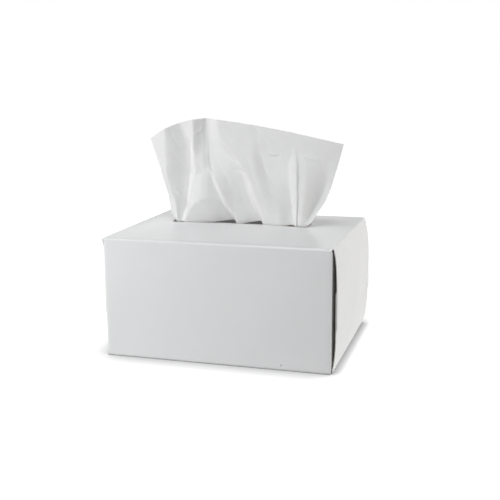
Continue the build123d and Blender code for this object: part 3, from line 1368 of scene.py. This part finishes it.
    def build(self) -> bpy.types.Object:
        """Makes the sheet and stands it for its solid.

        Returns:
            The dressed sheet.
        """
        grid, tight = self.columns(self.crease_lines())
        grid = self.ticked(self.swollen(self.trimmed(self.rounded(grid, tight))))
        grid = np.concatenate((self.lower_part(grid[0]), grid))
        grid = self.crumpled(grid)
        sheet = SheetMesh("drawn_tissue")
        sheet.add_grid(grid, (0.0, -1.0, 0.0))
        item = sheet.build([TISSUE.material()])
        wall = item.modifiers.new("gauge", "SOLIDIFY")
        wall.thickness = self.gauge * MM
        wall.offset = 0.0
        settle(item, self.sharp_angle)
        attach(item, BODY)
        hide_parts(self.node)
        return item


@dataclass
class TissueStack:
    """Folded sheets in the carton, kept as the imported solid."""

    node: str = "tissue_stack"

    def dress(self) -> bpy.types.Object:
        """Gives the stack its layered finish.

        Returns:
            The stack's own object.
        """
        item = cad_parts[self.node]
        item.data.materials.clear()
        item.data.materials.append(STACKED.material())
        return item


@dataclass(frozen=True)
class Lamp:
    """A soft rectangular lamp that looks at a point."""

    name: str
    place: Point3
    target: Point3
    size: Point2
    power: float
    colour: Colour = (1.0, 1.0, 1.0)

    def build(self) -> bpy.types.Object:
        """Makes the lamp.

        Returns:
            The lamp's object.
        """
        data = bpy.data.lights.new(self.name, "AREA")
        data.shape = "RECTANGLE"
        data.size, data.size_y = (side * MM for side in self.size)
        data.energy = self.power
        data.color = self.colour
        item = put(self.name, data)
        place, target = Vector(self.place) * MM, Vector(self.target) * MM
        turn = (target - place).to_track_quat("-Z", "Y").to_matrix().to_4x4()
        item.matrix_world = Matrix.Translation(place) @ turn
        return item


LAMPS = (
    Lamp(
        name="left_lamp",
        place=(-340.0, -230.0, 150.0),
        target=(0.0, 0.0, 60.0),
        size=(200.0, 200.0),
        power=0.82,
    ),
    Lamp(
        name="right_lamp",
        place=(620.0, 70.0, 110.0),
        target=(40.0, 0.0, 30.0),
        size=(420.0, 260.0),
        power=1.85,
        colour=(1.0, 0.976, 0.947),
    ),
    Lamp(
        name="front_lamp",
        place=(20.0, -420.0, 700.0),
        target=(0.0, -20.0, 60.0),
        size=(400.0, 400.0),
        power=3.0,
        colour=(0.985, 0.994, 1.0),
    ),
)


@dataclass
class Studio:
    """Pale floor, soft lamps, white surroundings and the camera."""

    floor_size: float = 8000.0
    floor_drop: float = 0.05
    floor_colour: Colour = (0.62, 0.62, 0.62)
    seen_colour: Colour = (0.35, 0.35, 0.35)
    floor_glow: float = 0.9
    contact_reach: float = 20.0
    lit_reach: float = 4.0
    lit_start: float = 55.0
    lit_end: float = 74.0
    contact_samples: int = 16
    glow_start: float = 170.0
    glow_end: float = 420.0
    ambient: Colour = (0.1, 0.101, 0.104)
    white: Colour = (1.0, 1.0, 1.0)
    black: Colour = (0.0, 0.0, 0.0)
    camera_place: Point3 = (149.5, -481.1, 161.2)
    yaw: float = -16.66
    pitch: float = 11.9
    roll: float = -0.55
    focal_pixels: float = 849.4
    image_pixels: float = 500.0
    sensor: float = 36.0
    clip_start: float = 10.0
    lamps: tuple[Lamp, ...] = LAMPS

    def world(self) -> None:
        """Sets soft light all round, and white for the rays that see the surroundings."""
        world = bpy.data.worlds.new("soft_room")
        bpy.context.scene.world = world
        kit = Nodes.fresh(world)
        light = kit.add("ShaderNodeBackground", {"Color": rgba(self.ambient), "Strength": 1.0})
        white = kit.add("ShaderNodeBackground", {"Color": rgba(self.white), "Strength": 1.0})
        rays = kit.add("ShaderNodeLightPath").outputs
        seen = kit.math("MAXIMUM", rays["Is Camera Ray"], rays["Is Glossy Ray"])
        seen = kit.math("MAXIMUM", seen, rays["Is Transmission Ray"])
        both = kit.add("ShaderNodeMixShader", {0: seen, 1: light, 2: white})
        kit.add("ShaderNodeOutputWorld", {"Surface": both})

    def floor_material(self) -> bpy.types.Material:
        """White floor with a shadow near the object. The shadow is partly real, from its lamp-lit colour, and
        partly painted: ambient occlusion dims its glow and colour, with a shorter reach on the lit right
        side.

        Returns:
            The floor's material.
        """
        material = bpy.data.materials.new("pale_floor")
        kit = Nodes.fresh(material)
        place = kit.add("ShaderNodeTexCoord").outputs["Object"]
        away = kit.add("ShaderNodeVectorMath", {0: place}, operation="LENGTH").outputs["Value"]
        glow = kit.span(away, self.glow_start * MM, self.glow_end * MM, self.floor_glow, 1.0)
        along = kit.add("ShaderNodeSeparateXYZ", {0: place}).outputs["X"]
        lit = (self.lit_start * MM, self.lit_end * MM)
        reach = kit.span(along, *lit, self.contact_reach * MM, self.lit_reach * MM)
        # painted contact shadow: ambient occlusion near the object darkens the floor's glow and colour, over
        # a shorter reach on the lit right side
        near = kit.add("ShaderNodeAmbientOcclusion", {"Distance": reach}, samples=self.contact_samples)
        painted_shadow_mask = near.outputs["AO"]
        seen = kit.mix(painted_shadow_mask, rgba(self.black), rgba(self.seen_colour))
        bright = kit.add("ShaderNodeBsdfDiffuse", {"Color": seen})
        shine = kit.add("ShaderNodeEmission", {"Strength": kit.math("MULTIPLY", glow, painted_shadow_mask)})
        shown = kit.add("ShaderNodeAddShader", {0: bright, 1: shine})
        paint = kit.add("ShaderNodeBsdfDiffuse", {"Color": rgba(self.floor_colour)})
        mirrored = kit.add("ShaderNodeEmission", {"Strength": 1.0})
        rays = kit.add("ShaderNodeLightPath").outputs
        bounced = kit.math("MAXIMUM", rays["Is Glossy Ray"], rays["Is Transmission Ray"])
        unseen = kit.add("ShaderNodeMixShader", {0: bounced, 1: paint, 2: mirrored})
        both = kit.add("ShaderNodeMixShader", {0: rays["Is Camera Ray"], 1: unseen, 2: shown})
        kit.add("ShaderNodeOutputMaterial", {"Surface": both})
        return material

    def floor(self) -> bpy.types.Object:
        """Lays the floor under the object.

        Returns:
            The floor's object.
        """
        half = self.floor_size / 2 * MM
        drop = -self.floor_drop * MM
        corners = [(-half, -half, drop), (half, -half, drop), (half, half, drop), (-half, half, drop)]
        mesh = bpy.data.meshes.new("floor")
        mesh.from_pydata(corners, [], [(0, 1, 2, 3)])
        mesh.materials.append(self.floor_material())
        item = put("floor", mesh)
        return item

    def camera(self) -> bpy.types.Object:
        """Sets the camera at the photograph's angle.

        Returns:
            The camera's object.
        """
        yaw, pitch, roll = (math.radians(angle) for angle in (self.yaw, self.pitch, self.roll))
        forward = Vector((math.sin(yaw) * math.cos(pitch), math.cos(yaw) * math.cos(pitch), -math.sin(pitch)))
        right = Vector((math.cos(yaw), -math.sin(yaw), 0.0))
        up = right.cross(forward)
        level = math.cos(roll) * right + math.sin(roll) * up
        upright = math.cos(roll) * up - math.sin(roll) * right
        turn = Matrix((level, upright, -forward)).transposed()
        data = bpy.data.cameras.new("view")
        data.sensor_width = self.sensor
        data.lens = self.focal_pixels * self.sensor / self.image_pixels
        data.clip_start = self.clip_start * MM
        item = put("view", data)
        item.matrix_world = Matrix.Translation(Vector(self.camera_place) * MM) @ turn.to_4x4()
        bpy.context.scene.camera = item
        return item

    def build(self) -> None:
        """Sets up the whole stage."""
        self.world()
        self.floor()
        for lamp in self.lamps:
            lamp.build()
        self.camera()
        bpy.context.scene.view_settings.view_transform = "Standard"


def main() -> None:
    """Builds the pieces in order, logs the face count of each and sets up the stage."""
    logging.basicConfig(level=logging.INFO, format="%(message)s")
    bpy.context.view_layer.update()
    carton = Carton()
    pieces = [carton.build(), SlotNibs(carton).build(), TissueStack().dress(), LeadingTissue().build()]
    for piece in pieces:
        log.info("%s: %d faces", piece.name, len(piece.data.polygons))
    Studio().build()


if __name__ == "__main__":
    main()
